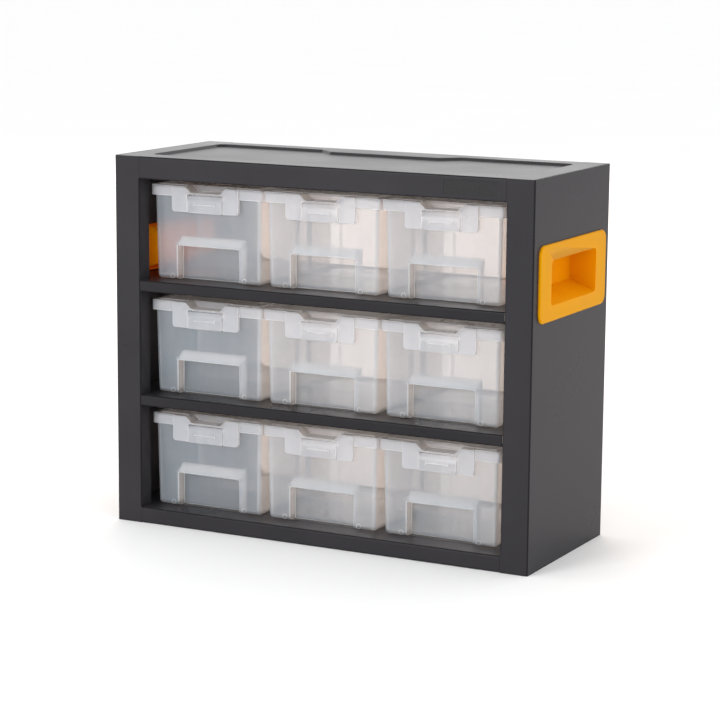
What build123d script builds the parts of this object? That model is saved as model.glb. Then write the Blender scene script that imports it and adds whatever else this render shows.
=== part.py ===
from build123d import *
import math
import os

# Steel compartment organizer: a folded sheet-steel cabinet with recessed carry handles and rows of
# lidded bins. Millimetres, x to the right, y from front to back, z up, origin under the middle.

# Cabinet
cabinet_width = 385.0
cabinet_depth = 155.0
cabinet_height = 315.0
sheet = 0.8
bend_radius = 1.6
seam = 0.2
stile_width = 24.0
stile_return = 15.0
top_rail = 18.9
bottom_rail = 13.5
rail_return = 10.0
top_side_flange = 10.0
shelf_lip = 9.5
lip_return = 8.0

# Windows in the back, one behind each row of bins
window_side = 52.0
window_lip = 3.0
window_corner = 10.0

# Sunk tray in the top panel, with a step in its back edge
tray_depth = 2.0
tray_side_margin = 22.5
tray_front_margin = 20.5
tray_back_margin = 19.5
tray_step = 14.0
tray_step_half = 51.0
tray_step_run = 16.0
tray_corner = 8.0

# Carry handles
handle_margin = 10.0
handle_thickness = 2.0
handle_corner = 8.0
handle_edge = 0.8
pocket_end = 21.5
pocket_height = 36.3
pocket_lift = 2.6
pocket_ramp = 9.0
pocket_wall = 1.6
pocket_corner = 4.0
pocket_backing = 1.4
flange_below = 12.5
flange_above = 13.0
cutout_gap = 0.3

# Places of the bins
row_names = ("bottom", "middle", "top")
column_names = ("left", "centre", "right")
row_room = 8.8
row_side_gap = 1.0
bin_gap = 1.2
head_room = 7.8
top_row_less = 2.8
front_setback = 16.8
back_room = 0.7
slide_gap = 0.2

# Bins
bin_wall = 1.6
bin_floor = 2.6
bin_draft = 1.0
bin_corner = 4.0
recess_width = 60.0
recess_height = 29.0
recess_depth = 9.0
recess_rise = 5.5
catch_half = 12.0
catch_height = 3.0
catch_drop = 17.0
catch_proud = 0.5

# Dividers and the ribs that guide them
divider_set = 68.0
divider_thickness = 1.4
divider_drop = 9.0
divider_gap = 0.3
guide_depth = 1.8
guide_width = 1.4

# Lids
lid_wall = 1.4
lid_plate = 1.8
ring_height = 0.8
ring_inset = 5.5
ring_width = 2.6
lid_skirt = 9.5
lid_corner = 2.5
lid_gap = 0.6
lid_seat = 0.3
apron_width = 64.5
apron_drop = 22.5
apron_proud = 2.0
apron_back = 0.6
apron_corner = 3.0
notch_top_half = 21.0
notch_floor_half = 14.2
notch_depth = 6.0
notch_sill = 1.2
notch_run = 12.0

# Lid hinges: a half-round bar between two lugs on the bin, and a hook on the lid
hinge_inset = 14.0
hinge_bar = 1.2
hinge_play = 0.3
hinge_gap = 0.3
hook_reach = 2.4
lug_reach = 2.0
lug_width = 2.0
lug_drop = 8.0

# Latches
latch_width = 34.0
latch_gap = 0.25
latch_thickness = 2.2
latch_proud = 1.5
latch_shoulder = 13.5
latch_bar = 0.9
latch_ear = 3.5
latch_play = 0.2
latch_headroom = 1.4
latch_corner = 1.4
latch_rib = 1.2
latch_ridge_width = 20.5
latch_ridge_height = 1.2
latch_ridge_proud = 0.7
latch_ridge_drop = 15.6
catch_gap = 0.4

# Planes that follow from the sizes above
half_width = cabinet_width / 2
front = -cabinet_depth / 2
back = cabinet_depth / 2
web_inner = half_width - sheet
corner_inner = half_width - bend_radius
opening_half = half_width - stile_width
strip_half = opening_half - seam
panel_front = back - 2 * sheet
rows = len(row_names)
columns = len(column_names)
row_pitch = (cabinet_height - top_rail - bottom_rail + shelf_lip + top_row_less) / rows
shelf_tops = [bottom_rail + row_pitch * row for row in range(rows)]

handle_width = cabinet_depth - 2 * handle_margin
pocket_half = handle_width / 2 - pocket_end
pocket_depth = stile_width - pocket_wall - pocket_backing
pocket_low = shelf_tops[-1] + pocket_lift
pocket_high = pocket_low + pocket_height

column_pitch = (2 * opening_half - row_room) / columns
lid_width = column_pitch - bin_gap
column_places = [
    -opening_half + row_side_gap + lid_width / 2 + column_pitch * column for column in range(columns)
]

# Heights over a bin's underside
lid_top = row_pitch - shelf_lip - head_room - slide_gap
plate_top = lid_top - ring_height
plate_low = plate_top - lid_plate
skirt_low = lid_top - lid_skirt
apron_low = lid_top - apron_drop
notch_low = lid_top - notch_depth
bin_top = plate_low - lid_seat
catch_top = lid_top - catch_drop
hinge_z = plate_top - hook_reach
window_top = notch_low - notch_sill
latch_z = window_top - latch_headroom - latch_bar

# Depths, front to back
lid_front = front + front_setback
apron_front = lid_front - apron_proud
latch_front = apron_front - latch_proud
latch_back = latch_front + latch_thickness
latch_y = (apron_front + lid_front + lid_wall) / 2
bin_front = lid_front + lid_wall + lid_gap
hinge_y = panel_front - back_room - hook_reach
lid_back = hinge_y - hook_reach - hinge_gap
bin_back = lid_back - lid_gap
divider_y = bin_front + divider_set
bin_half = lid_width / 2 - lid_wall - lid_gap


def outline(*points):
    """Face inside a closed outline of straight lines."""
    return make_face(Polyline(*points, close=True))


def block(x_range, y_range, z_range):
    """Box between three pairs of limits."""
    sizes = [high - low for low, high in (x_range, y_range, z_range)]
    middles = [(high + low) / 2 for low, high in (x_range, y_range, z_range)]
    return Pos(*middles) * Box(*sizes)


def across(face, x_low, x_high):
    """Solid of a y-z face carried along x."""
    return extrude(Plane.YZ.offset(x_low) * face, amount=x_high - x_low)


def along(face, y_low, y_high):
    """Solid of an x-z face carried along y."""
    return extrude(Plane.XZ.offset(-y_high) * face, amount=y_high - y_low)


def upward(face, z_low, z_high):
    """Solid of an x-y face carried up."""
    return extrude(Plane.XY.offset(z_low) * face, amount=z_high - z_low)


def half_round(half_length, y, z, radius):
    """Bar along x with a round top about its axis and a flat underside."""
    face = Circle(radius) & Pos(0, radius) * Rectangle(2 * radius, 2 * radius)
    return across(Pos(y, z) * face, -half_length, half_length)


def bent(*points):
    """Section of sheet bent along points on its outer face, with the metal to their right."""
    path = FilletPolyline(*points, radius=bend_radius)
    return make_face(offset(path, amount=sheet, side=Side.RIGHT))


def both_sides(solid):
    """A solid on the right together with its mirror image on the left."""
    return solid + mirror(solid, about=Plane.YZ)


def corner_cut(radius):
    """Leg of a straight corner cut that goes as deep into the corner as a round of the radius."""
    return radius * (2 - math.sqrt(2))


# Cabinet


def side_panel():
    """Left side: web, front stile with its return, back flange and the handle's cut-out."""
    stile_edge = (-opening_half, front)
    web_points = [(-half_width, front), (-half_width, back), (-opening_half, back)]
    plain = bent(stile_edge, *web_points)
    returned = bent((-opening_half, front + stile_return), stile_edge, *web_points)
    return_low = bottom_rail + seam
    return_high = cabinet_height - top_rail - seam
    panel = upward(plain, 0, return_low)
    panel += upward(returned, return_low, return_high)
    panel += upward(plain, return_high, cabinet_height)
    room = pocket_wall + cutout_gap
    cutout = Plane.YZ * Pos(0, (pocket_low + pocket_high) / 2) * RectangleRounded(
        2 * (pocket_half + room), pocket_height + 2 * room, pocket_corner + room
    )
    return panel - extrude(cutout, amount=-half_width - sheet)


def tray_outline():
    """Outline of the tray's upper edge, with the step in its back edge."""
    x_side = half_width - tray_side_margin
    y_front = front + tray_front_margin
    y_back = back - tray_back_margin
    x_jog = tray_step_half + tray_step_run
    right = [(x_side, y_front), (x_side, y_back), (x_jog, y_back), (tray_step_half, y_back - tray_step)]
    left = [(-x, y) for x, y in reversed(right)]
    face = outline(*right, *left)
    outer_corners = face.vertices().filter_by(lambda corner: abs(corner.X) > x_jog)
    return fillet(outer_corners, tray_corner)


def tray_form(z, grow):
    """Sunk form of the tray from height z down, with walls at 45 degrees, grown outwards."""
    face = offset(tray_outline(), amount=grow, kind=Kind.INTERSECTION) if grow else tray_outline()
    form = upward(face, z - tray_depth, z)
    return draft(form.faces().filter_by(Axis.Z, reverse=True), Plane.XY.offset(z), -45)


def corner_plate(z):
    """Plate under height z that reaches between a side panel's stile and its back flange."""
    return block((strip_half, corner_inner), (front + sheet, back - sheet), (z - sheet, z))


def top_panel():
    """Top: rail and return at the front, sunk tray, flanges at the sides and the back."""
    z = cabinet_height
    strip = bent(
        (front + rail_return, z - top_rail), (front, z - top_rail),
        (front, z), (back, z), (back, z - top_rail),
    )
    wing = bent((strip_half, z), (web_inner, z), (web_inner, z - top_side_flange))
    panel = across(strip, -strip_half, strip_half)
    panel += both_sides(along(wing, front + bend_radius, panel_front))
    panel += both_sides(corner_plate(z))
    return panel + tray_form(z - sheet, sheet * (math.sqrt(2) - 1)) - tray_form(z, 0)


def bottom_panel():
    """Bottom: a plate on turned-in flanges that the cabinet stands on."""
    z = bottom_rail
    strip = bent(
        (front + rail_return, 0), (front, 0), (front, z), (back, z), (back, 0), (back - rail_return, 0)
    )
    wing = bent((strip_half, z), (web_inner, z), (web_inner, 0))
    panel = across(strip, -strip_half, strip_half)
    panel += both_sides(along(wing, front + bend_radius, back - bend_radius))
    return panel + both_sides(corner_plate(z))


def back_window(z):
    """Outline of the window behind the row that stands at height z, with cut corners."""
    half = half_width - window_side
    low = z + window_lip
    high = min(z + row_pitch - shelf_lip, cabinet_height - top_rail)
    face = outline((-half, low), (half, low), (half, high), (-half, high))
    return chamfer(face.vertices(), corner_cut(window_corner))


def back_panel():
    """Flat back with its windows, welded inside the back flanges."""
    z_range = (bottom_rail, cabinet_height - bend_radius)
    panel = block((-corner_inner, corner_inner), (panel_front, back - sheet), z_range)
    for z in shelf_tops:
        panel -= along(back_window(z), panel_front, back - sheet)
    return panel


def shelf(z):
    """Shelf at height z: front lip with a return, and flanges at the sides and the back."""
    low = z - shelf_lip
    strip = bent(
        (front + lip_return, low), (front, low), (front, z), (panel_front, z), (panel_front, low)
    )
    wing = bent((strip_half, z), (web_inner, z), (web_inner, low))
    wing_front = front + stile_return + seam
    return across(strip, -strip_half, strip_half) + both_sides(along(wing, wing_front, panel_front))


def handle():
    """Right carry handle: a flange outside the cabinet and a pocket that rises to its back."""
    outer = half_width + handle_thickness
    inner = half_width - pocket_depth
    flange_low = pocket_low - flange_below
    flange_high = pocket_high + flange_above
    flange_face = Pos(0, (flange_low + flange_high) / 2) * RectangleRounded(
        handle_width, flange_high - flange_low, handle_corner
    )
    flange = across(flange_face, half_width, outer)
    flange = chamfer(flange.faces().sort_by(Axis.X)[-1].edges(), handle_edge)
    pocket = pocket_form(inner, outer, 0)
    return flange + pocket_form(inner - pocket_wall, half_width, pocket_wall) - pocket


def pocket_form(x_inner, x_outer, grow):
    """Round-cornered block of the handle's pocket, with a sloped floor, grown by a wall."""
    face = Pos(0, (pocket_low + pocket_high) / 2) * RectangleRounded(
        2 * (pocket_half + grow), pocket_height + 2 * grow, pocket_corner + grow
    )
    slope = pocket_ramp / (half_width + handle_thickness - (half_width - pocket_depth))
    run = x_outer - x_inner
    start = pocket_low - grow + slope * (half_width + handle_thickness - x_outer)
    reach = pocket_half + grow
    wedge = outline(
        (x_inner, start - run), (x_outer, start - run), (x_outer, start), (x_inner, start + slope * run)
    )
    return across(face, x_inner, x_outer) - along(wedge, -reach, reach)


# Bins


def bin_inset(z):
    """How far the draft draws a bin's walls in at height z."""
    return (bin_top - z) * math.tan(math.radians(bin_draft))


def catch_tip():
    """Depth of the front of the bin's catch."""
    return bin_front + bin_inset(catch_top) - catch_proud


def bin_form(z_low, z_high, wall):
    """Block of the bin between two heights, inside a wall, with sides drafted from the bin's rim."""
    half = bin_half - wall
    form = block((-half, half), (bin_front + wall, bin_back - wall), (z_low, z_high))
    return draft(form.faces().filter_by(Axis.Z, reverse=True), Plane.XY.offset(bin_top), -bin_draft)


def uprights(solid):
    """The edges of a drafted block that lead up its corners."""
    return solid.edges().filter_by(lambda edge: abs(edge.tangent_at(0.5).Z) > 0.5)


def finger_recess(wall):
    """Space under the bin's front for a finger, grown by a wall, with a rising ceiling."""
    panel_y = bin_front + bin_inset(0) + recess_depth + wall
    slope = recess_rise / recess_depth
    outer_y = bin_front - recess_depth
    ceiling = recess_height + recess_rise + wall * math.hypot(1, slope)
    profile = outline(
        (outer_y, -recess_height), (panel_y, -recess_height), (panel_y, ceiling),
        (outer_y, ceiling - slope * (panel_y - outer_y)),
    )
    reach = recess_width / 2 + wall
    return across(profile, -reach, reach)


def notch_section(grow, top):
    """Trapezoid of the lid's front notch, grown by a wall and cut off at the given height."""
    slope = (notch_top_half - notch_floor_half) / notch_depth
    side = grow * math.hypot(1, slope)
    low = notch_low - grow
    low_half = notch_floor_half + side - slope * grow
    top_half = low_half + slope * (top - low)
    return outline((-low_half, low), (low_half, low), (top_half, top), (-top_half, top))


def hinge_lugs():
    """Two lugs on the bin's back edge and the bar between them, which the lid's hook turns on."""
    root = bin_back - bin_wall / 2
    lug_face = outline(
        (root, hinge_z - lug_drop), (bin_back, hinge_z - lug_drop), (hinge_y + lug_reach, hinge_z),
        (hinge_y + lug_reach, hinge_z + hinge_bar), (hinge_y - lug_reach, hinge_z + hinge_bar),
        (hinge_y - lug_reach, hinge_z), (root, hinge_z),
    )
    inner = lid_width / 2 - hinge_inset
    lugs = both_sides(across(lug_face, inner, inner + lug_width))
    return [lugs, half_round(inner, hinge_y, hinge_z, hinge_bar)]


def guide_ribs():
    """Pairs of ribs on the bin's side walls, with the divider's slot between them."""
    high = bin_top - divider_drop
    wall_x = [bin_half - bin_inset(z) - bin_wall for z in (bin_floor, high)]
    low_z = bin_floor - bin_floor / 2
    face = outline(
        (wall_x[0] - guide_depth, low_z), (wall_x[0] + bin_wall / 2, low_z),
        (wall_x[1] + bin_wall / 2, high), (wall_x[1] - guide_depth, high),
    )
    reach = divider_thickness / 2 + divider_gap
    outer = reach + guide_width
    front_ribs = both_sides(along(face, divider_y - outer, divider_y - reach))
    back_ribs = both_sides(along(face, divider_y + reach, divider_y + outer))
    return [front_ribs, back_ribs]


def bin_body():
    """Bin: drafted walls, floor, finger recess, catch, divider guides and hinge lugs."""
    above = bin_top + bin_wall
    form = fillet(uprights(bin_form(0, bin_top, 0)), bin_corner)
    cavity = bin_form(bin_floor, above, bin_wall)
    cavity = chamfer(uprights(cavity), corner_cut(bin_corner - bin_wall))
    body = form - finger_recess(0) - (cavity - finger_recess(bin_wall))
    room = lid_wall + lid_gap
    slot = along(notch_section(room, above), bin_front - room, bin_front + bin_corner)
    tip = catch_tip()
    root = tip + catch_proud + bin_wall / 2
    catch = outline(
        (root, catch_top), (tip, catch_top),
        (tip, catch_top - catch_height / 2), (root, catch_top - catch_height),
    )
    body = body - slot + across(catch, -catch_half, catch_half)
    for piece in hinge_lugs() + guide_ribs():
        body += piece
    return body


def divider():
    """Loose plate across the bin, in the slot between the guide ribs."""
    low = bin_floor + divider_gap
    high = bin_top - divider_drop
    halves = [bin_half - bin_inset(z) - bin_wall - divider_gap for z in (low, high)]
    face = outline((-halves[0], low), (halves[0], low), (halves[1], high), (-halves[1], high))
    return along(face, divider_y - divider_thickness / 2, divider_y + divider_thickness / 2)


# Lids and latches


def lid_plan(inset, y_back):
    """Plan of the lid, drawn in at the front and sides."""
    half = lid_width / 2 - inset
    y_front = lid_front + inset
    return outline((-half, y_front), (half, y_front), (half, y_back), (-half, y_back))


def low_corners(face):
    """The two corners of a face with the lowest second coordinate."""
    return face.vertices().group_by(Axis.Y)[0]


def apron_face():
    """Front view of the apron that carries the latch, with round lower corners."""
    half = apron_width / 2
    face = outline((-half, apron_low), (half, apron_low), (half, plate_top), (-half, plate_top))
    return fillet(low_corners(face), apron_corner)


def hinge_hook():
    """Hook on the lid's back edge that goes over the hinge bar, behind it and under it."""
    root = lid_back - lid_plate
    inner = hinge_bar + hinge_play
    lip_top = hinge_z - hinge_play
    lip_low = lip_top - (hook_reach - inner)
    section = outline(
        (root, plate_low), (hinge_y - inner, plate_low), (hinge_y - inner, hinge_z + inner),
        (hinge_y + inner, hinge_z + inner), (hinge_y + inner, lip_top), (hinge_y, lip_top),
        (hinge_y, lip_low), (hinge_y + hook_reach, lip_low), (hinge_y + hook_reach, plate_top),
        (root, plate_top),
    )
    reach = lid_width / 2 - hinge_inset - hinge_gap
    return across(section, -reach, reach)


def latch_window():
    """Opening in the apron for the latch, with slots in its ears for the ends of the latch's bar."""
    reach = latch_width / 2 + latch_gap
    y_back = lid_front + lid_wall + lid_gap
    room = latch_bar + latch_play
    window = block((-reach, reach), (apron_front, y_back), (apron_low, window_top))
    ends = reach + latch_ear
    slots = block((-ends, ends), (latch_y - room, y_back), (latch_z - room, latch_z + room))
    return window + slots


def lid():
    """Lid: plate with a raised ring, skirt, hinge hook, front notch and the latch's apron."""
    past = lid_back + lid_wall
    plan = lid_plan(0, lid_back)
    plan = fillet(low_corners(plan), lid_corner)
    room = lid_plan(lid_wall, past)
    room = chamfer(low_corners(room), corner_cut(lid_corner - lid_wall))
    ring_inner = ring_inset + ring_width
    ring = lid_plan(ring_inset, lid_back - ring_inset) - lid_plan(ring_inner, lid_back - ring_inner)
    body = upward(plan, skirt_low, plate_top) - upward(room, skirt_low, plate_low)
    body += upward(ring, plate_top, lid_top)
    body += along(apron_face(), apron_front, lid_front + apron_back)
    body += along(notch_section(lid_wall, plate_top), lid_front, lid_front + notch_run + lid_wall)
    body -= along(notch_section(0, lid_top + ring_height), apron_front, lid_front + notch_run)
    return body - latch_window() + hinge_hook()


def latch():
    """Latch that hangs from a bar in the apron's ears, with a grip ridge and a rib under the catch."""
    shoulder_z = lid_top - latch_shoulder
    half = latch_width / 2
    rib_back = catch_tip() - catch_gap
    rib_top = apron_low + latch_rib
    profile = outline(
        (latch_y - latch_bar, latch_z), (latch_front, shoulder_z), (latch_front, apron_low),
        (rib_back, apron_low), (rib_back, rib_top), (latch_back, rib_top + latch_rib),
        (latch_back, shoulder_z), (latch_y + latch_bar, latch_z),
    )
    tab = across(profile, -half, half)
    bottom = tab.edges().filter_by(Axis.Y).group_by(Axis.Z)[0]
    body = chamfer(bottom, latch_corner)
    body += half_round(half + latch_ear, latch_y, latch_z, latch_bar)
    ridge_z = lid_top - latch_ridge_drop
    ridge = outline(
        (latch_front, ridge_z - latch_ridge_height), (latch_back, ridge_z - latch_ridge_height),
        (latch_back, ridge_z + latch_ridge_height), (latch_front, ridge_z + latch_ridge_height),
        (latch_front - latch_ridge_proud, ridge_z),
    )
    return body + across(ridge, -latch_ridge_width / 2, latch_ridge_width / 2)


def write(name, solid):
    """Write one node to its own file."""
    solid.label = name
    export_step(solid, f"parts/{name}.step")


def main():
    """Build every piece in its place and write it."""
    os.makedirs("parts", exist_ok=True)
    left_side = side_panel()
    right_handle = handle()
    write("left_side_panel", left_side)
    write("right_side_panel", mirror(left_side, about=Plane.YZ))
    write("top_panel", top_panel())
    write("bottom_panel", bottom_panel())
    write("back_panel", back_panel())
    write("lower_shelf", shelf(shelf_tops[1]))
    write("upper_shelf", shelf(shelf_tops[2]))
    write("right_handle", right_handle)
    write("left_handle", mirror(right_handle, about=Plane.YZ))
    bin_pieces = {"bin": bin_body(), "divider": divider(), "lid": lid(), "latch": latch()}
    for row, shelf_top in zip(row_names, shelf_tops):
        for column, place in zip(column_names, column_places):
            for kind, piece in bin_pieces.items():
                write(f"{kind}_{row}_{column}", Pos(place, 0, shelf_top + slide_gap) * piece)


main()
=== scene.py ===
"""Looks of the steel compartment organizer: powder coat, moulded plastics, plate, studio and camera."""
import logging
import math
from dataclasses import dataclass, field
from enum import Enum, IntEnum
from typing import Iterable, Union

import bmesh
import bpy
from mathutils import Matrix, Vector
from mathutils.bvhtree import BVHTree


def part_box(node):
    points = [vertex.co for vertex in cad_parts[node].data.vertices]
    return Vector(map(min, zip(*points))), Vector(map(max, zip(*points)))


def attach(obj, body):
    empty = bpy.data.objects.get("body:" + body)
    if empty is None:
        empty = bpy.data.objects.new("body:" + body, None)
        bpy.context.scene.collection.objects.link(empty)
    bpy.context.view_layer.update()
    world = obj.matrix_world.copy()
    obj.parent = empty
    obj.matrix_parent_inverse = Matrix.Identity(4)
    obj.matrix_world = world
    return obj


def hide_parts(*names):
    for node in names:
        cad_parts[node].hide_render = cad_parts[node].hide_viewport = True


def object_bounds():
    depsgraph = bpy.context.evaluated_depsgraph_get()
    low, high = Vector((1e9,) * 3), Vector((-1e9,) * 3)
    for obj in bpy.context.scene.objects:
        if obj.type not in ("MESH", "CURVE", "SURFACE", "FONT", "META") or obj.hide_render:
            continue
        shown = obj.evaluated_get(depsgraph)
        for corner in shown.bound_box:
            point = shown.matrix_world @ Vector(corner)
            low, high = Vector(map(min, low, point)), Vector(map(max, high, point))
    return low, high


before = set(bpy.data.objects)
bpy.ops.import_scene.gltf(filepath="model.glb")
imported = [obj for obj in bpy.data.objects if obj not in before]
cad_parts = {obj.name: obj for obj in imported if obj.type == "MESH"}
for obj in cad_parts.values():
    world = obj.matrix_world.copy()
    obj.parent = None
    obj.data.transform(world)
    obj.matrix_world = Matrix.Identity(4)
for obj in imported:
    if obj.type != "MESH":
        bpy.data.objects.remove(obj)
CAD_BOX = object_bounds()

log = logging.getLogger("organizer")

MM = 0.001
CABINET_BODY = "cabinet"
MERGE_DISTANCE = 0.002 * MM
ON_PLANE = 0.001 * MM
FLAT_ANGLE = math.radians(0.5)
SMOOTH_ANGLE = math.radians(30.0)
SHARP_ANGLE = math.radians(40.0)
EDGE_SEGMENTS = 2
FULL_WEIGHT = 100
RAY_START = 0.05 * MM
FACES_MOSTLY = 0.5
FACES_FULLY = 0.9

Triple = tuple[float, float, float]
Colour = Triple
Input = Union[bpy.types.NodeSocket, float, Colour]


class Row(Enum):
    """Rows of bins, from the floor up."""

    BOTTOM = "bottom"
    MIDDLE = "middle"
    TOP = "top"


class Column(Enum):
    """Columns of bins, as seen from the front."""

    LEFT = "left"
    CENTRE = "centre"
    RIGHT = "right"


class Slot(Enum):
    """Material slots of the record."""

    PAINT = "cabinet_paint"
    HANDLE = "handle_plastic"
    BIN = "bin_plastic"
    LID = "lid_plastic"


class PlateFace(IntEnum):
    """Numbers of the finishes on the top panel and its plate."""

    RAIL = 0
    BORDER = 1
    PLATE = 2


class BinFace(IntEnum):
    """Numbers of the finishes on the plastic pieces, of which lids and latches have the first two."""

    FRONT = 0
    EDGE = 1
    INNER = 2
    SIDE = 3
    RIB = 4
    BACK = 5


# Shader trees


class ShaderGraph:
    """A material's node tree, written with short calls."""

    def __init__(self, name: str) -> None:
        """Starts an empty tree whose patterns read Object coordinates.

        Args:
            name: Name of the material.
        """
        self.material = bpy.data.materials.new(name)
        self.material.use_nodes = True
        self.tree = self.material.node_tree
        self.tree.nodes.clear()
        self.output = self.tree.nodes.new("ShaderNodeOutputMaterial")
        self.coordinates = self.add("ShaderNodeTexCoord")

    def feed(self, socket: bpy.types.NodeSocket, value: Input) -> None:
        """Links a socket to another one, or sets its value.

        Args:
            socket: Socket to feed.
            value: Socket to link to, or the value to set.
        """
        if isinstance(value, bpy.types.NodeSocket):
            self.tree.links.new(value, socket)
        elif isinstance(value, tuple) and socket.type == "RGBA":
            socket.default_value = (*value, 1.0)
        else:
            socket.default_value = value

    def add(
        self, kind: str, inputs: dict[str | int, Input] | None = None, **settings: object,
    ) -> bpy.types.Node:
        """Adds a node.

        Args:
            kind: Blender's name of the node type.
            inputs: Values or links for its input sockets, by name or number.
            settings: Properties of the node.

        Returns:
            The new node.
        """
        node = self.tree.nodes.new(kind)
        for key, value in settings.items():
            setattr(node, key, value)
        for key, value in (inputs or {}).items():
            self.feed(node.inputs[key], value)
        return node

    def stretched(self, scale: Triple) -> bpy.types.NodeSocket:
        """Object coordinates, scaled along each axis.

        Args:
            scale: Factor along each axis.

        Returns:
            The scaled coordinates.
        """
        inputs = {"Vector": self.coordinates.outputs["Object"], "Scale": scale}
        return self.add("ShaderNodeMapping", inputs).outputs["Vector"]

    def noise(
        self, scale: float, detail: float, place: bpy.types.NodeSocket | None = None,
    ) -> bpy.types.NodeSocket:
        """Noise from 0 to 1.

        Args:
            scale: Cells per metre.
            detail: Octaves on top of the first one.
            place: Coordinates to read in place of the piece's own.

        Returns:
            The noise's value.
        """
        place = place or self.coordinates.outputs["Object"]
        node = self.add("ShaderNodeTexNoise", {"Vector": place, "Scale": scale, "Detail": detail})
        return node.outputs["Fac"]

    def spread(
        self, value: Input, low: float, high: float, start: float = 0.3, end: float = 0.7,
    ) -> bpy.types.NodeSocket:
        """Maps a value from one range to another.

        Args:
            value: Value to map.
            low: Result at the start.
            high: Result at the end.
            start: Value that gives the low result.
            end: Value that gives the high result.

        Returns:
            The mapped value.
        """
        inputs = {"Value": value, "From Min": start, "From Max": end, "To Min": low, "To Max": high}
        return self.add("ShaderNodeMapRange", inputs).outputs["Result"]

    def math(self, operation: str, first: Input, second: Input = 0.0) -> bpy.types.NodeSocket:
        """One arithmetic step on two values.

        Args:
            operation: Blender's name of the step.
            first: First value.
            second: Second value.

        Returns:
            The result.
        """
        return self.add("ShaderNodeMath", {0: first, 1: second}, operation=operation).outputs[0]

    def tint(self, share: Input, first: Input, second: Input) -> bpy.types.NodeSocket:
        """Colour between two others.

        Args:
            share: Share of the second colour, from 0 to 1.
            first: First colour.
            second: Second colour.

        Returns:
            The mixed colour.
        """
        node = self.add("ShaderNodeMix", {0: share, 6: first, 7: second}, data_type="RGBA")
        return node.outputs[2]

    def relief(self, height: Input, strength: float, depth: float) -> bpy.types.NodeSocket:
        """Normals of a relief.

        Args:
            height: Pattern of the relief, from 0 to 1.
            strength: Share of the relief that shows.
            depth: Height of the relief in metres.

        Returns:
            The bumped normal.
        """
        inputs = {"Height": height, "Strength": strength, "Distance": depth}
        return self.add("ShaderNodeBump", inputs).outputs["Normal"]

    def mixed(self, share: Input, first: bpy.types.Node, second: bpy.types.Node) -> bpy.types.Node:
        """Blend of two shaders.

        Args:
            share: Share of the second shader, from 0 to 1.
            first: First shader.
            second: Second shader.

        Returns:
            The blend.
        """
        return self.add("ShaderNodeMixShader", {0: share, 1: first.outputs[0], 2: second.outputs[0]})

    def bend_mask(self, turned: float = 0.72, square: float = 0.985) -> bpy.types.NodeSocket:
        """Mask that is 0 on faces square to the cabinet and rises to 1 where a sheet turns a corner.

        Args:
            turned: Largest part of the normal at which the mask is 1.
            square: Largest part of the normal at which the mask is 0.

        Returns:
            The mask.
        """
        parts = self.add("ShaderNodeSeparateXYZ", {0: self.coordinates.outputs["Normal"]}).outputs
        sizes = [self.math("ABSOLUTE", part) for part in parts]
        largest = self.math("MAXIMUM", self.math("MAXIMUM", sizes[0], sizes[1]), sizes[2])
        return self.spread(largest, 1.0, 0.0, turned, square)

    def finish(self, surface: bpy.types.Node) -> bpy.types.Material:
        """Sets the surface shader.

        Args:
            surface: Shader of the surface.

        Returns:
            The finished material.
        """
        self.tree.links.new(surface.outputs[0], self.output.inputs["Surface"])
        return self.material


# Finishes


@dataclass(frozen=True)
class PowderCoat:
    """Dark grey powder coat: a fine orange peel over faint clouds, with painted shade that darkens it round
    the bends.
    """

    name: str
    light: Colour
    dark: Colour
    # Painted shade: the near-black colour laid on the bends, for the dark line they show under the studio
    # light.
    bend_shade: Colour = (0.0040, 0.0038, 0.0044)
    bend_shade_cover: float = 0.85
    bend_roughness: float = 0.85
    roughness: tuple[float, float] = (0.26, 0.32)
    ior: float = 1.18
    clouds: float = 11.0
    peel: float = 1500.0
    peel_share: float = 0.3
    peel_depth: float = 0.05 * MM

    def material(self) -> bpy.types.Material:
        """Builds the material.

        Returns:
            The material.
        """
        graph = ShaderGraph(self.name)
        cloud = graph.noise(self.clouds, detail=4.0)
        peel = graph.noise(self.peel, detail=2.0)
        base = graph.tint(graph.spread(cloud, 0.0, 1.0), self.dark, self.light)
        mask = graph.bend_mask()
        # Painted shade: the colour turns near-black where the sheet bends.
        base = graph.tint(graph.math("MULTIPLY", mask, self.bend_shade_cover), base, self.bend_shade)
        rough = graph.spread(cloud, *self.roughness)
        rough = graph.math("MAXIMUM", rough, graph.spread(mask, 0.0, self.bend_roughness, 0.0, 1.0))
        return graph.finish(graph.add("ShaderNodeBsdfPrincipled", {
            "Base Color": base,
            "Roughness": rough,
            "IOR": self.ior,
            "Normal": graph.relief(peel, self.peel_share, self.peel_depth),
        }))


@dataclass(frozen=True)
class MouldedPlastic:
    """Satin yellow-orange plastic that lets a little light through its thin pocket."""

    name: str = "handle_plastic_satin"
    light: Colour = (0.96, 0.43, 0.002)
    deep: Colour = (0.92, 0.40, 0.001)
    glow: Colour = (1.0, 0.40, 0.001)
    gloss: Colour = (1.0, 0.52, 0.0)
    roughness: tuple[float, float] = (0.34, 0.44)
    ior: float = 1.16
    grain: float = 1800.0
    grain_share: float = 0.25
    grain_depth: float = 0.05 * MM
    clouds: float = 26.0
    thinness: float = 0.27

    def material(self) -> bpy.types.Material:
        """Builds the material.

        Returns:
            The material.
        """
        graph = ShaderGraph(self.name)
        cloud = graph.noise(self.clouds, detail=3.0)
        grain = graph.noise(self.grain, detail=2.0)
        normal = graph.relief(grain, self.grain_share, self.grain_depth)
        solid = graph.add("ShaderNodeBsdfPrincipled", {
            "Base Color": graph.tint(graph.spread(cloud, 0.0, 1.0), self.deep, self.light),
            "Roughness": graph.spread(cloud, *self.roughness),
            "IOR": self.ior,
            "Specular Tint": self.gloss,
            "Normal": normal,
        })
        through = graph.add("ShaderNodeBsdfTranslucent", {"Color": self.glow, "Normal": normal})
        return graph.finish(graph.mixed(self.thinness, solid, through))


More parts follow.
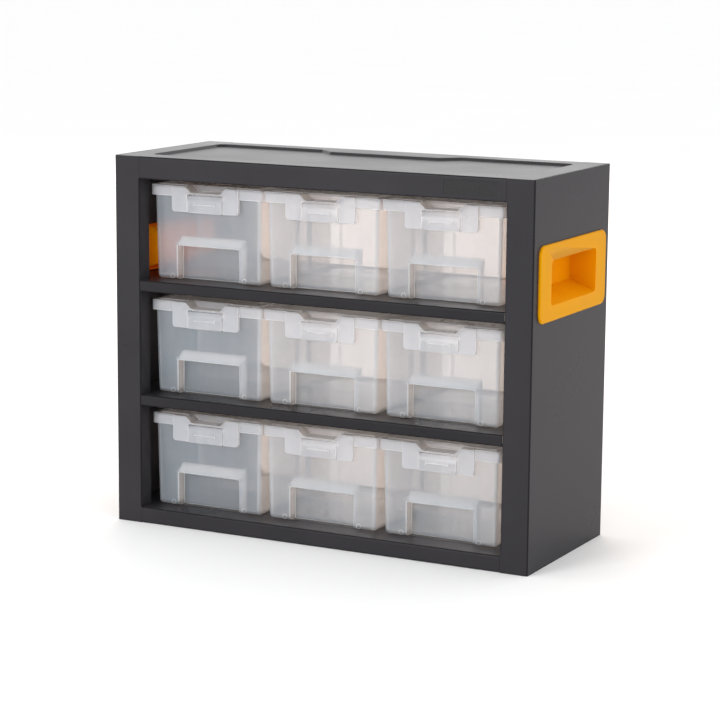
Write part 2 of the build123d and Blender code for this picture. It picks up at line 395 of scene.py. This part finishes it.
@dataclass(frozen=True)
class MilkyPlastic:
    """Thin milky plastic: clear enough to show what is behind it, cloudy enough to glow."""

    name: str
    veil: float
    veil_at_edge: float
    scatter: Colour = (0.56, 0.79, 1.0)
    glow: Colour = (1.0, 0.91, 0.84)
    glow_share: float = 0.56
    clear: Colour = (0.995, 0.982, 0.973)
    shine: float = 0.035
    roughness: tuple[float, float] = (0.12, 0.18)
    matt: float = 0.6
    rise: float = 5.0
    clouds: float = 34.0
    cloud_range: tuple[float, float] = (0.95, 1.03)
    streaks: float = 120.0
    streak_shape: Triple = (1.0, 1.0, 0.12)
    streak_range: tuple[float, float] = (-0.02, 0.02)
    waves: float = 60.0
    wave_share: float = 0.3
    wave_depth: float = 0.12 * MM

    def material(self) -> bpy.types.Material:
        """Builds the material.

        Returns:
            The material.
        """
        graph = ShaderGraph(self.name)
        cloud = graph.noise(self.clouds, detail=3.0)
        streak = graph.noise(self.streaks, detail=2.0, place=graph.stretched(self.streak_shape))
        normal = graph.relief(graph.noise(self.waves, detail=1.0), self.wave_share, self.wave_depth)
        facing = graph.add("ShaderNodeLayerWeight", {"Blend": 0.5}).outputs["Facing"]
        slant = graph.math("POWER", facing, self.rise)
        veil = graph.spread(slant, self.veil, self.veil_at_edge, 0.0, 1.0)
        shine = graph.spread(slant, self.shine, 1.0, 0.0, 1.0)
        cloud_part = graph.spread(cloud, *self.cloud_range)
        uneven = graph.math("ADD", cloud_part, graph.spread(streak, *self.streak_range))
        veil = graph.math("MULTIPLY", veil, uneven)
        solid = graph.add("ShaderNodeBsdfPrincipled", {
            "Base Color": self.scatter,
            "Roughness": self.matt,
            "Specular IOR Level": 0.0,
        })
        through = graph.add("ShaderNodeBsdfTranslucent", {"Color": self.glow})
        body = graph.mixed(self.glow_share, solid, through)
        gap = graph.add("ShaderNodeBsdfTransparent", {"Color": self.clear})
        wall = graph.mixed(veil, gap, body)
        rough = graph.spread(cloud, *self.roughness)
        gloss = graph.add("ShaderNodeBsdfGlossy", {"Roughness": rough, "Normal": normal})
        return graph.finish(graph.mixed(shine, wall, gloss))


@dataclass(frozen=True)
class PlateFinish:
    """Paint of the plate: its dark grey face or its darker border."""

    name: str
    light: Colour
    dark: Colour
    roughness: tuple[float, float] = (0.30, 0.40)
    ior: float = 1.27
    grain: float = 700.0
    grain_share: float = 0.15
    grain_depth: float = 0.04 * MM

    def material(self) -> bpy.types.Material:
        """Builds the material.

        Returns:
            The material.
        """
        graph = ShaderGraph(self.name)
        grain = graph.noise(self.grain, detail=3.0)
        return graph.finish(graph.add("ShaderNodeBsdfPrincipled", {
            "Base Color": graph.tint(graph.spread(grain, 0.0, 1.0), self.dark, self.light),
            "Roughness": graph.spread(grain, *self.roughness),
            "IOR": self.ior,
            "Normal": graph.relief(grain, self.grain_share, self.grain_depth),
        }))


@dataclass(frozen=True)
class FloorPaper:
    """Matt white studio paper."""

    name: str = "floor_paper"
    light: Colour = (0.93, 0.93, 0.93)
    dark: Colour = (0.91, 0.91, 0.912)
    clouds: float = 3.0
    roughness: tuple[float, float] = (0.85, 0.95)
    gloss: float = 0.1

    def material(self) -> bpy.types.Material:
        """Builds the material.

        Returns:
            The material.
        """
        graph = ShaderGraph(self.name)
        cloud = graph.noise(self.clouds, detail=2.0)
        return graph.finish(graph.add("ShaderNodeBsdfPrincipled", {
            "Base Color": graph.tint(cloud, self.dark, self.light),
            "Roughness": graph.spread(cloud, *self.roughness),
            "Specular IOR Level": self.gloss,
        }))


POWDER_COAT = PowderCoat("powder_coat", light=(0.0318, 0.0302, 0.0340), dark=(0.0262, 0.0248, 0.0284))
# Painted shade: a darker copy of the powder coat for the shelves, which sit in dimmer light.
SHADED_SHELF_COAT = PowderCoat("powder_coat_shelf_painted_shade", light=(0.0222, 0.0212, 0.0238), dark=(0.0178, 0.0169, 0.0193))
HANDLE_PLASTIC = MouldedPlastic()
BIN_PLASTIC = MilkyPlastic("bin_plastic_milky", veil=0.34, veil_at_edge=0.80)
SIDE_PLASTIC = MilkyPlastic(
    "bin_plastic_side", veil=0.30, veil_at_edge=0.80, scatter=(0.92, 0.93, 0.96), glow=(1.0, 0.92, 0.86),
)
INNER_PLASTIC = MilkyPlastic(
    "bin_plastic_inner", veil=0.03, veil_at_edge=0.75, scatter=(1.0, 0.94, 0.89), glow=(1.0, 0.90, 0.82),
)
# Painted shade: the back walls' see-through tint is darkened and warmed, to dim the light that comes in
# behind the bins and tint it warm.
SHADED_BACK_PLASTIC = MilkyPlastic(
    "bin_plastic_back", veil=0.34, veil_at_edge=0.80, scatter=(0.92, 0.93, 0.96), glow=(1.0, 0.88, 0.78),
    clear=(0.85, 0.82, 0.80),
)
RIB_PLASTIC = MilkyPlastic(
    "bin_plastic_rib", veil=0.66, veil_at_edge=0.85, scatter=(0.96, 0.98, 1.0), glow_share=0.3,
)
LID_PLASTIC = MilkyPlastic(
    "lid_plastic_milky", veil=0.46, veil_at_edge=0.80, scatter=(0.80, 0.88, 0.99),
    shine=0.022, roughness=(0.26, 0.32),
)
LATCH_PLASTIC = MilkyPlastic(
    "latch_plastic_milky", veil=0.34, veil_at_edge=0.78, scatter=(0.74, 0.84, 0.97),
    shine=0.022, roughness=(0.26, 0.32),
)
# Painted highlight: nearly opaque, whiter plastic on the rounded edges and the mould rings, for the bright
# lines those edges catch.
EDGE_HIGHLIGHT_PLASTIC = MilkyPlastic(
    "plastic_edge_painted_highlight", veil=0.90, veil_at_edge=0.96, scatter=(0.92, 0.96, 1.0), glow=(1.0, 0.97, 0.94),
)
PLATE_FACE = PlateFinish("plate_face_grey", light=(0.019, 0.0185, 0.020), dark=(0.014, 0.0135, 0.015))
PLATE_BORDER = PlateFinish("plate_border_dark", light=(0.014, 0.014, 0.015), dark=(0.009, 0.009, 0.010))
FLOOR_PAPER = FloorPaper()


# Meshes


def joined_copy(node: str) -> bmesh.types.BMesh:
    """Copies a CAD node's mesh as one closed shell.

    Args:
        node: Name of the CAD node.

    Returns:
        The shell with doubles merged and flat faces joined.
    """
    shell = bmesh.new()
    shell.from_mesh(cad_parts[node].data)
    bmesh.ops.remove_doubles(shell, verts=shell.verts[:], dist=MERGE_DISTANCE)
    bmesh.ops.dissolve_limit(shell, angle_limit=FLAT_ANGLE, verts=shell.verts[:], edges=shell.edges[:])
    return shell


def sharp_edges(shell: bmesh.types.BMesh) -> list[bmesh.types.BMEdge]:
    """Edges of a shell at which its faces turn sharply.

    Args:
        shell: Shell to search.

    Returns:
        The edges found.
    """
    return [edge for edge in shell.edges if edge.is_manifold and edge.calc_face_angle(0.0) > SHARP_ANGLE]


def middle_of(edge: bmesh.types.BMEdge) -> Vector:
    """Middle of an edge.

    Args:
        edge: The edge.

    Returns:
        The point half-way along it.
    """
    return (edge.verts[0].co + edge.verts[1].co) / 2


def round_over(
    shell: bmesh.types.BMesh, edges: Iterable[bmesh.types.BMEdge], radius: float, segments: int,
) -> None:
    """Rounds edges of a shell.

    Args:
        shell: Shell that is changed in place.
        edges: Edges to round.
        radius: Distance of the round from the edge, in metres.
        segments: Faces across the round.
    """
    bmesh.ops.bevel(
        shell, geom=list(edges), offset=radius, offset_type="OFFSET", segments=segments,
        profile=0.5, affect="EDGES", clamp_overlap=False,
    )


def width_from(edge: bmesh.types.BMEdge, face: bmesh.types.BMFace) -> float:
    """How far a face reaches from one of its edges.

    Args:
        edge: Edge of the face.
        face: The face.

    Returns:
        The greatest distance of its corners from the edge.
    """
    start = edge.verts[0].co
    along = (edge.verts[1].co - start).normalized()
    offsets = [vert.co - start for vert in face.verts]
    return max((offset - offset.dot(along) * along).length for offset in offsets)


def bevelled_mesh(
    shell: bmesh.types.BMesh, name: str, finishes: Iterable[bpy.types.Material], radius: float,
) -> bpy.types.Mesh:
    """Rounds the weighted edges of a shell and turns it into a mesh.

    Args:
        shell: Shell with bevel weights on its edges, which is used up.
        name: Name of the mesh.
        finishes: Materials, with that of the rounds second.
        radius: Round of an edge with weight 1, in metres.

    Returns:
        The mesh.
    """
    holder = bpy.data.objects.new(name, plain_mesh(shell, f"{name}_sharp", finishes))
    bevel = holder.modifiers.new("rounds", "BEVEL")
    bevel.limit_method = "WEIGHT"
    bevel.width = radius
    bevel.segments = EDGE_SEGMENTS
    # The rounds take the whiter plastic that paints their highlight.
    bevel.material = BinFace.EDGE
    bevel.use_clamp_overlap = False
    return evaluated_mesh(holder, name)


def evaluated_mesh(holder: bpy.types.Object, name: str) -> bpy.types.Mesh:
    """Turns an object with modifiers into a mesh whose flat faces stay flat beside its rounds.

    Args:
        holder: Object that is used up.
        name: Name of the mesh.

    Returns:
        The mesh.
    """
    even = holder.modifiers.new("even_normals", "WEIGHTED_NORMAL")
    even.keep_sharp = True
    even.weight = FULL_WEIGHT
    bpy.context.scene.collection.objects.link(holder)
    evaluated = holder.evaluated_get(bpy.context.evaluated_depsgraph_get())
    mesh = bpy.data.meshes.new_from_object(evaluated)
    bpy.data.objects.remove(holder)
    mesh.name = name
    return mesh


def mesh_of(shell: bmesh.types.BMesh, name: str, finishes: Iterable[bpy.types.Material]) -> bpy.types.Mesh:
    """Turns a shell into a smooth-shaded mesh with flat faces.

    Args:
        shell: Shell that is used up.
        name: Name of the mesh.
        finishes: Materials in the order of the faces' numbers.

    Returns:
        The mesh.
    """
    return evaluated_mesh(bpy.data.objects.new(name, plain_mesh(shell, f"{name}_plain", finishes)), name)


def plain_mesh(shell: bmesh.types.BMesh, name: str, finishes: Iterable[bpy.types.Material]) -> bpy.types.Mesh:
    """Turns a shell into a smooth-shaded mesh.

    Args:
        shell: Shell that is used up.
        name: Name of the mesh.
        finishes: Materials in the order of the faces' numbers.

    Returns:
        The mesh.
    """
    mesh = bpy.data.meshes.new(name)
    for face in shell.faces:
        face.smooth = True
    shell.to_mesh(mesh)
    shell.free()
    mesh.set_sharp_from_angle(angle=SMOOTH_ANGLE)
    for finish in finishes:
        mesh.materials.append(finish)
    return mesh


def add_piece(
    mesh: bpy.types.Mesh, name: str, body: str, stands_for: Iterable[str] = (),
) -> bpy.types.Object:
    """Puts a mesh into the scene as a piece.

    Args:
        mesh: Mesh with its place in its vertices.
        name: Name of the piece.
        body: CAD body that carries it.
        stands_for: CAD nodes that it replaces.

    Returns:
        The new object.
    """
    piece = bpy.data.objects.new(name, mesh)
    bpy.context.scene.collection.objects.link(piece)
    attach(piece, body)
    stands_for = tuple(stands_for)
    if stands_for:
        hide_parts(*stands_for)
    log.info("%s rides on %s", name, body)
    return piece


# Sub-assemblies


@dataclass
class Cabinet:
    """Folded sheet-steel housing, which keeps its CAD meshes but for the top panel's."""

    panels: tuple[str, ...] = (
        "left_side_panel", "right_side_panel", "top_panel", "bottom_panel", "back_panel",
    )
    shelves: tuple[str, ...] = ("lower_shelf", "upper_shelf")

    def dress(self) -> None:
        """Gives each panel its powder coat and each shelf a darker copy of it, painted shade for the dimmer
        light there.
        """
        for nodes, coat in ((self.panels, POWDER_COAT), (self.shelves, SHADED_SHELF_COAT)):
            material = coat.material()
            for node in nodes:
                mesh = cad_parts[node].data
                mesh.materials.clear()
                mesh.materials.append(material)
                log.info("%s is dressed", node)


@dataclass
class NamePlate:
    """Bare plate let into the top rail, with its face just inside the rail's."""

    host: str = "top_panel"
    x_range: tuple[float, float] = (114.0 * MM, 160.8 * MM)
    z_range: tuple[float, float] = (299.3 * MM, 311.2 * MM)
    border: float = 0.6 * MM
    sink: float = 0.1 * MM
    slope: float = 0.05 * MM

    def build(self) -> None:
        """Cuts the plate's bed into a copy of the rail and gives its floor the plate's finishes."""
        front = CAD_BOX[0].y
        shell = joined_copy(self.host)
        for axis, places in ((0, self.x_range), (2, self.z_range)):
            for place in places:
                face = self.face_at(shell, front)
                point = Vector((0.0, 0.0, 0.0))
                normal = Vector((0.0, 0.0, 0.0))
                point[axis] = place
                normal[axis] = 1.0
                parts = [face, *face.edges, *face.verts]
                bmesh.ops.bisect_plane(shell, geom=parts, plane_co=point, plane_no=normal, dist=ON_PLANE / 10)
        face = self.face_at(shell, front)
        bmesh.ops.inset_individual(shell, faces=[face], thickness=self.slope, depth=-self.sink)
        rim = bmesh.ops.inset_individual(shell, faces=[face], thickness=self.border, depth=0.0)["faces"]
        for part in rim:
            part.material_index = PlateFace.BORDER
        bmesh.ops.inset_individual(shell, faces=[face], thickness=self.slope, depth=self.sink / 2)
        face.material_index = PlateFace.PLATE
        finishes = [finish.material() for finish in (POWDER_COAT, PLATE_BORDER, PLATE_FACE)]
        name = f"{self.host}_plate"
        add_piece(mesh_of(shell, name, finishes), name, CABINET_BODY, [self.host])

    def face_at(self, shell: bmesh.types.BMesh, front: float) -> bmesh.types.BMFace:
        """Face of the rail's front that holds the plate's middle.

        Args:
            shell: Shell of the top panel.
            front: Depth of the rail's front.

        Returns:
            The face found.
        """
        middle = Vector((sum(self.x_range) / 2, front, sum(self.z_range) / 2))
        flat = [face for face in shell.faces if all(abs(vert.co.y - front) < ON_PLANE for vert in face.verts)]
        return next(face for face in flat if bmesh.geometry.intersect_face_point(face, middle))


@dataclass
class CarryHandle:
    """Recessed carry handle in a side panel."""

    node: str

    def build(self, finish: bpy.types.Material) -> None:
        """Copies the handle with even shading.

        Args:
            finish: The handle's plastic.
        """
        mesh = mesh_of(joined_copy(self.node), self.node, [finish])
        add_piece(mesh, f"{self.node}_moulding", CABINET_BODY, [self.node])


@dataclass
class BinMoulds:
    """Meshes that the nine bins share: the bin, its divider, its lid and its latch."""

    row: Row = Row.BOTTOM
    column: Column = Column.LEFT
    foot_round: float = 3.6 * MM
    foot_segments: int = 5
    edge_round: float = 0.7 * MM
    fine_round: float = 0.3 * MM
    room_share: float = 2.4
    hinge_y: float = 69.0 * MM
    recess_half: float = 30.5 * MM
    recess_reach: float = 16.0 * MM
    recess_height: float = 42.0 * MM
    recess_wall: float = 3.0 * MM
    slot_half: float = 2.6 * MM
    rib_offset: float = 40.0 * MM
    meshes: dict[str, bpy.types.Mesh] = field(default_factory=dict)

    def node(self, kind: str) -> str:
        """Name of the CAD node that a mesh is copied from.

        Args:
            kind: Kind of piece.

        Returns:
            The node's name.
        """
        return f"{kind}_{self.row.value}_{self.column.value}"

    def build(self) -> None:
        """Builds the four shared meshes."""
        # edge is the whiter plastic that paints highlights on the rounds.
        lid, latch, edge = (finish.material() for finish in (LID_PLASTIC, LATCH_PLASTIC, EDGE_HIGHLIGHT_PLASTIC))
        others = (INNER_PLASTIC, SIDE_PLASTIC, RIB_PLASTIC, SHADED_BACK_PLASTIC)
        walls = [BIN_PLASTIC.material(), edge, *(finish.material() for finish in others)]
        for kind in ("bin", "divider"):
            self.meshes[kind] = self.mould(kind, walls)
        self.meshes["lid"] = self.mould("lid", [lid, edge])
        self.meshes["latch"] = self.mould("latch", [latch, edge])

    def mould(self, kind: str, finishes: list[bpy.types.Material]) -> bpy.types.Mesh:
        """Copies one node and rounds its edges.

        Args:
            kind: Kind of piece, as its node's name begins.
            finishes: Finishes in the order of BinFace.

        Returns:
            The shared mesh.
        """
        shell = joined_copy(self.node(kind))
        if kind == "bin":
            round_over(shell, self.foot_edges(shell), self.foot_round, self.foot_segments)
            self.mark_faces(shell)
        elif kind == "divider":
            for face in shell.faces:
                face.material_index = BinFace.INNER if face.normal.y > FACES_MOSTLY else BinFace.SIDE
        weights = shell.edges.layers.float.new("bevel_weight_edge")
        for edge in sharp_edges(shell):
            edge[weights] = self.radius(edge, kind) / self.edge_round
        return bevelled_mesh(shell, f"{kind}_mould", finishes, self.edge_round)

    def mark_faces(self, shell: bmesh.types.BMesh) -> None:
        """Sorts the bin's faces by finish: inside, sides and underside, back, and front.

        Args:
            shell: Shell of the bin, whose walls surround what is inside it on four sides.
        """
        walls = BVHTree.FromBMesh(shell)
        across, along = Vector((1.0, 0.0, 0.0)), Vector((0.0, 1.0, 0.0))
        sides = [across, -across, along, -along]
        for face in shell.faces:
            start = face.calc_center_median_weighted() + RAY_START * face.normal
            if all(walls.ray_cast(start, side)[0] is not None for side in sides):
                face.material_index = BinFace.RIB if self.is_rib(face) else BinFace.INNER
            elif face.normal.y > FACES_MOSTLY:
                # Back walls take the darkened plastic that paints shade on the light coming through them.
                face.material_index = BinFace.BACK
            elif face.normal.y > -FACES_MOSTLY:
                face.material_index = BinFace.SIDE

    def is_rib(self, face: bmesh.types.BMFace) -> bool:
        """Whether an inner face belongs to a guide rib, or to the ceiling or cheeks of the finger recess.

        Args:
            face: Face inside the bin.

        Returns:
            Whether it does.
        """
        low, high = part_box(self.node("bin"))
        slot_low, slot_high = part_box(self.node("divider"))
        slot_y = (slot_low.y + slot_high.y) / 2
        middle = face.calc_center_median_weighted()
        off_centre = abs(middle.x - (low.x + high.x) / 2)
        if off_centre > self.rib_offset:
            return all(abs(vert.co.y - slot_y) < self.slot_half for vert in face.verts)
        near_front = middle.y < low.y + self.recess_reach and middle.z < low.z + self.recess_height
        faces_back = face.normal.y > FACES_FULLY
        return near_front and off_centre < self.recess_half + self.recess_wall and not faces_back

    def radius(self, edge: bmesh.types.BMEdge, kind: str) -> float:
        """How far an edge is rounded.

        Args:
            edge: Edge of the piece.
            kind: Kind of piece.

        Returns:
            The distance of the round from the edge, or 0 for edges that stay as they are.
        """
        if middle_of(edge).y > self.hinge_y or not self.has_room(edge, self.fine_round):
            return 0.0
        if kind == "bin" and self.has_room(edge, self.edge_round):
            return self.edge_round
        return self.fine_round

    def has_room(self, edge: bmesh.types.BMEdge, distance: float) -> bool:
        """Whether an edge and the faces beside it have room for a round.

        Args:
            edge: Edge of the piece.
            distance: Distance of the round from the edge.

        Returns:
            Whether they have.
        """
        room = min(width_from(edge, face) for face in edge.link_faces)
        return edge.calc_length() >= 2 * distance and room >= self.room_share * distance

    def foot_edges(self, shell: bmesh.types.BMesh) -> list[bmesh.types.BMEdge]:
        """Edges round the underside of the bin, without those of the finger recess.

        Args:
            shell: Shell of the bin.

        Returns:
            The edges found.
        """
        low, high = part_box(self.node("bin"))
        found = []
        for edge in sharp_edges(shell):
            if max(vert.co.z for vert in edge.verts) > low.z + 10 * ON_PLANE:
                continue
            middle = middle_of(edge)
            by_recess = abs(middle.x - (low.x + high.x) / 2) < self.recess_half
            if not (by_recess and middle.y < low.y + self.recess_reach):
                found.append(edge)
        return found


@dataclass
class MouldMarks:
    """Pairs of shallow rings that the mould leaves on the feet of each bin's front."""

    ring_radius: float = 2.0 * MM
    wire_radius: float = 0.11 * MM
    spacing: float = 70.0 * MM
    height: float = 2.9 * MM
    reach: float = 0.1 * MM
    count: int = 2
    ring_sides: int = 28
    wire_sides: int = 8

    def tree(self) -> bpy.types.NodeTree:
        """Builds the tree that sets rings along a line, with named inputs for their sizes.

        Returns:
            The tree.
        """
        tree = bpy.data.node_groups.new("mould_rings", "GeometryNodeTree")
        tree.interface.new_socket("Geometry", in_out="INPUT", socket_type="NodeSocketGeometry")
        for name, kind in (
            ("Count", "NodeSocketInt"), ("Start", "NodeSocketVector"), ("Step", "NodeSocketVector"),
            ("Ring Radius", "NodeSocketFloat"), ("Wire Radius", "NodeSocketFloat"),
            ("Finish", "NodeSocketMaterial"),
        ):
            tree.interface.new_socket(name, in_out="INPUT", socket_type=kind)
        tree.interface.new_socket("Geometry", in_out="OUTPUT", socket_type="NodeSocketGeometry")
        sizes = tree.nodes.new("NodeGroupInput").outputs
        line = tree.nodes.new("GeometryNodeMeshLine")
        ring = tree.nodes.new("GeometryNodeCurvePrimitiveCircle")
        wire = tree.nodes.new("GeometryNodeCurvePrimitiveCircle")
        sweep = tree.nodes.new("GeometryNodeCurveToMesh")
        upright = tree.nodes.new("GeometryNodeTransform")
        spread = tree.nodes.new("GeometryNodeInstanceOnPoints")
        realize = tree.nodes.new("GeometryNodeRealizeInstances")
        paint = tree.nodes.new("GeometryNodeSetMaterial")
        result = tree.nodes.new("NodeGroupOutput")
        ring.inputs["Resolution"].default_value = self.ring_sides
        wire.inputs["Resolution"].default_value = self.wire_sides
        upright.inputs["Rotation"].default_value = (math.radians(90.0), 0.0, 0.0)
        for source, target in (
            (sizes["Count"], line.inputs["Count"]),
            (sizes["Start"], line.inputs["Start Location"]),
            (sizes["Step"], line.inputs["Offset"]),
            (sizes["Ring Radius"], ring.inputs["Radius"]),
            (sizes["Wire Radius"], wire.inputs["Radius"]),
            (ring.outputs["Curve"], sweep.inputs["Curve"]),
            (wire.outputs["Curve"], sweep.inputs["Profile Curve"]),
            (sweep.outputs["Mesh"], upright.inputs["Geometry"]),
            (line.outputs["Mesh"], spread.inputs["Points"]),
            (upright.outputs["Geometry"], spread.inputs["Instance"]),
            (spread.outputs["Instances"], realize.inputs["Geometry"]),
            (realize.outputs["Geometry"], paint.inputs["Geometry"]),
            (sizes["Finish"], paint.inputs["Material"]),
            (paint.outputs["Geometry"], result.inputs["Geometry"]),
        ):
            tree.links.new(source, target)
        return tree

    def front_at(self, item: "StorageBin") -> float:
        """Depth of the rings on a bin, a little in front of its foot.

        Args:
            item: The bin.

        Returns:
            The place along y.
        """
        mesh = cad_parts[f"bin_{item.key}"].data
        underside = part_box(f"bin_{item.key}")[0].z + 10 * ON_PLANE
        foot = min(vert.co.y for vert in mesh.vertices if vert.co.z < underside)
        return foot - self.reach

    def build(self, bins: Iterable["StorageBin"], finish: bpy.types.Material) -> None:
        """Sets a pair of rings on the front of each bin.

        Args:
            bins: The bins.
            finish: Finish of the rings.
        """
        tree = self.tree()
        keys = {item.name: item.identifier for item in tree.interface.items_tree if item.in_out == "INPUT"}
        for item in bins:
            low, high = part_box(f"bin_{item.key}")
            middle = (low.x + high.x) / 2
            start = Vector((middle - self.spacing / 2, self.front_at(item), low.z + self.height))
            values = {
                "Count": self.count, "Start": start, "Step": Vector((self.spacing, 0.0, 0.0)),
                "Ring Radius": self.ring_radius, "Wire Radius": self.wire_radius, "Finish": finish,
            }
            holder = bpy.data.objects.new("ring_holder", bpy.data.meshes.new("ring_holder"))
            modifier = holder.modifiers.new("rings", "NODES")
            modifier.node_group = tree
            for name, value in values.items():
                modifier[keys[name]] = value
            bpy.context.scene.collection.objects.link(holder)
            evaluated = holder.evaluated_get(bpy.context.evaluated_depsgraph_get())
            mesh = bpy.data.meshes.new_from_object(evaluated)
            bpy.data.objects.remove(holder)
            add_piece(mesh, f"mould_rings_{item.key}", f"bin_{item.key}_body")


@dataclass
class StorageBin:
    """One bin with its divider, lid and latch."""

    row: Row
    column: Column

    @property
    def key(self) -> str:
        """Row and column, as the nodes' names end."""
        return f"{self.row.value}_{self.column.value}"

    def build(self, moulds: BinMoulds) -> None:
        """Places the shared meshes where this bin's nodes are.

        Args:
            moulds: The meshes that all bins share.
        """
        carriers = {"bin": "bin", "divider": "bin", "lid": "lid", "latch": "latch"}
        for kind, carrier in carriers.items():
            node = f"{kind}_{self.key}"
            mesh = moulds.meshes[kind].copy()
            mesh.name = node
            mesh.transform(Matrix.Translation(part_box(node)[0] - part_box(moulds.node(kind))[0]))
            add_piece(mesh, f"{node}_moulding", f"{carrier}_{self.key}_body", [node])


# Studio


@dataclass(frozen=True)
class Softbox:
    """Square lamp that faces the cabinet."""

    name: str
    place: Triple
    side: float
    power: float
    colour: Colour = (1.0, 1.0, 1.0)
    in_gloss: bool = True

    def build(self, target: Vector) -> None:
        """Hangs the lamp, unseen by the camera.

        Args:
            target: Point that it faces.
        """
        lamp = bpy.data.lights.new(self.name, "AREA")
        lamp.size = self.side
        lamp.energy = self.power
        lamp.color = self.colour
        box = bpy.data.objects.new(self.name, lamp)
        box.location = self.place
        box.rotation_euler = (target - Vector(self.place)).to_track_quat("-Z", "Y").to_euler()
        box.visible_camera = False
        box.visible_glossy = self.in_gloss
        bpy.context.scene.collection.objects.link(box)
        log.info("%s hangs", self.name)


SOFTBOXES = (
    Softbox("key_softbox", (-0.8, -2.2, 0.9), side=0.9, power=26.0),
    Softbox("fill_softbox", (2.2, -0.6, 1.4), side=1.2, power=4.0),
    Softbox("high_softbox", (-1.38, 2.70, 0.85), side=1.6, power=3.8),
    Softbox("back_softbox", (-0.9, 2.3, 1.7), side=2.0, power=30.0, colour=(1.0, 0.80, 0.66), in_gloss=False),
)


@dataclass
class Studio:
    """Pale floor, soft lights and the camera at the photograph's angle."""

    floor_reach: float = 60.0
    floor_drop: float = 0.2 * MM
    world_strength: float = 1.07
    clear_layers: int = 40
    light_bounces: int = 8
    lamp_target: Vector = field(default_factory=lambda: Vector((0.0, 0.0, 0.15)))
    eye: Vector = field(default_factory=lambda: Vector((0.9310, -1.7865, 0.5080)))
    sight: Vector = field(default_factory=lambda: Vector((-0.4543, 0.8730, -0.17738)))
    roll: float = math.radians(0.4707)
    lens: float = 121.05
    sensor: float = 36.0
    far_end: float = 200.0

    def build(self) -> None:
        """Builds the floor, lights and camera."""
        self.build_floor()
        self.build_world()
        for softbox in SOFTBOXES:
            softbox.build(self.lamp_target)
        self.build_camera()

    def build_floor(self) -> None:
        """Lays a wide sheet of paper just under the feet."""
        shell = bmesh.new()
        bmesh.ops.create_grid(
            shell, x_segments=1, y_segments=1, size=self.floor_reach,
            matrix=Matrix.Translation((0.0, 0.0, -self.floor_drop)),
        )
        mesh = bpy.data.meshes.new("studio_floor")
        shell.to_mesh(mesh)
        shell.free()
        mesh.materials.append(FLOOR_PAPER.material())
        floor = bpy.data.objects.new("studio_floor", mesh)
        bpy.context.scene.collection.objects.link(floor)

    def build_world(self) -> None:
        """Lights the room evenly and keeps the tones plain."""
        world = bpy.data.worlds.new("studio_room")
        world.use_nodes = True
        backdrop = world.node_tree.nodes["Background"]
        backdrop.inputs["Color"].default_value = (1.0, 1.0, 1.0, 1.0)
        backdrop.inputs["Strength"].default_value = self.world_strength
        scene = bpy.context.scene
        scene.world = world
        scene.view_settings.view_transform = "Standard"
        scene.cycles.transparent_max_bounces = self.clear_layers
        scene.cycles.diffuse_bounces = self.light_bounces

    def build_camera(self) -> None:
        """Sets the camera where the photograph was taken from."""
        ahead = self.sight.normalized()
        right = ahead.cross(Vector((0.0, 0.0, 1.0))).normalized()
        upward = right.cross(ahead)
        turned_right = math.cos(self.roll) * right + math.sin(self.roll) * upward
        turned_up = math.cos(self.roll) * upward - math.sin(self.roll) * right
        data = bpy.data.cameras.new("studio_camera")
        data.lens = self.lens
        data.sensor_width = self.sensor
        data.clip_end = self.far_end
        camera = bpy.data.objects.new("studio_camera", data)
        turn = Matrix((turned_right, turned_up, -ahead)).transposed()
        camera.matrix_world = Matrix.Translation(self.eye) @ turn.to_4x4()
        bpy.context.scene.collection.objects.link(camera)
        bpy.context.scene.camera = camera


def main() -> None:
    """Builds the organizer's looks and the studio."""
    logging.basicConfig(level=logging.INFO, format="%(name)s: %(message)s")
    Cabinet().dress()
    NamePlate().build()
    handle_finish = HANDLE_PLASTIC.material()
    for side in ("left", "right"):
        CarryHandle(f"{side}_handle").build(handle_finish)
    moulds = BinMoulds()
    moulds.build()
    bins = [StorageBin(row, column) for row in Row for column in Column]
    for item in bins:
        item.build(moulds)
    # The rings wear the whiter edge plastic that paints a highlight on them.
    MouldMarks().build(bins, moulds.meshes["bin"].materials[BinFace.EDGE])
    Studio().build()


if __name__ == "__main__":
    main()
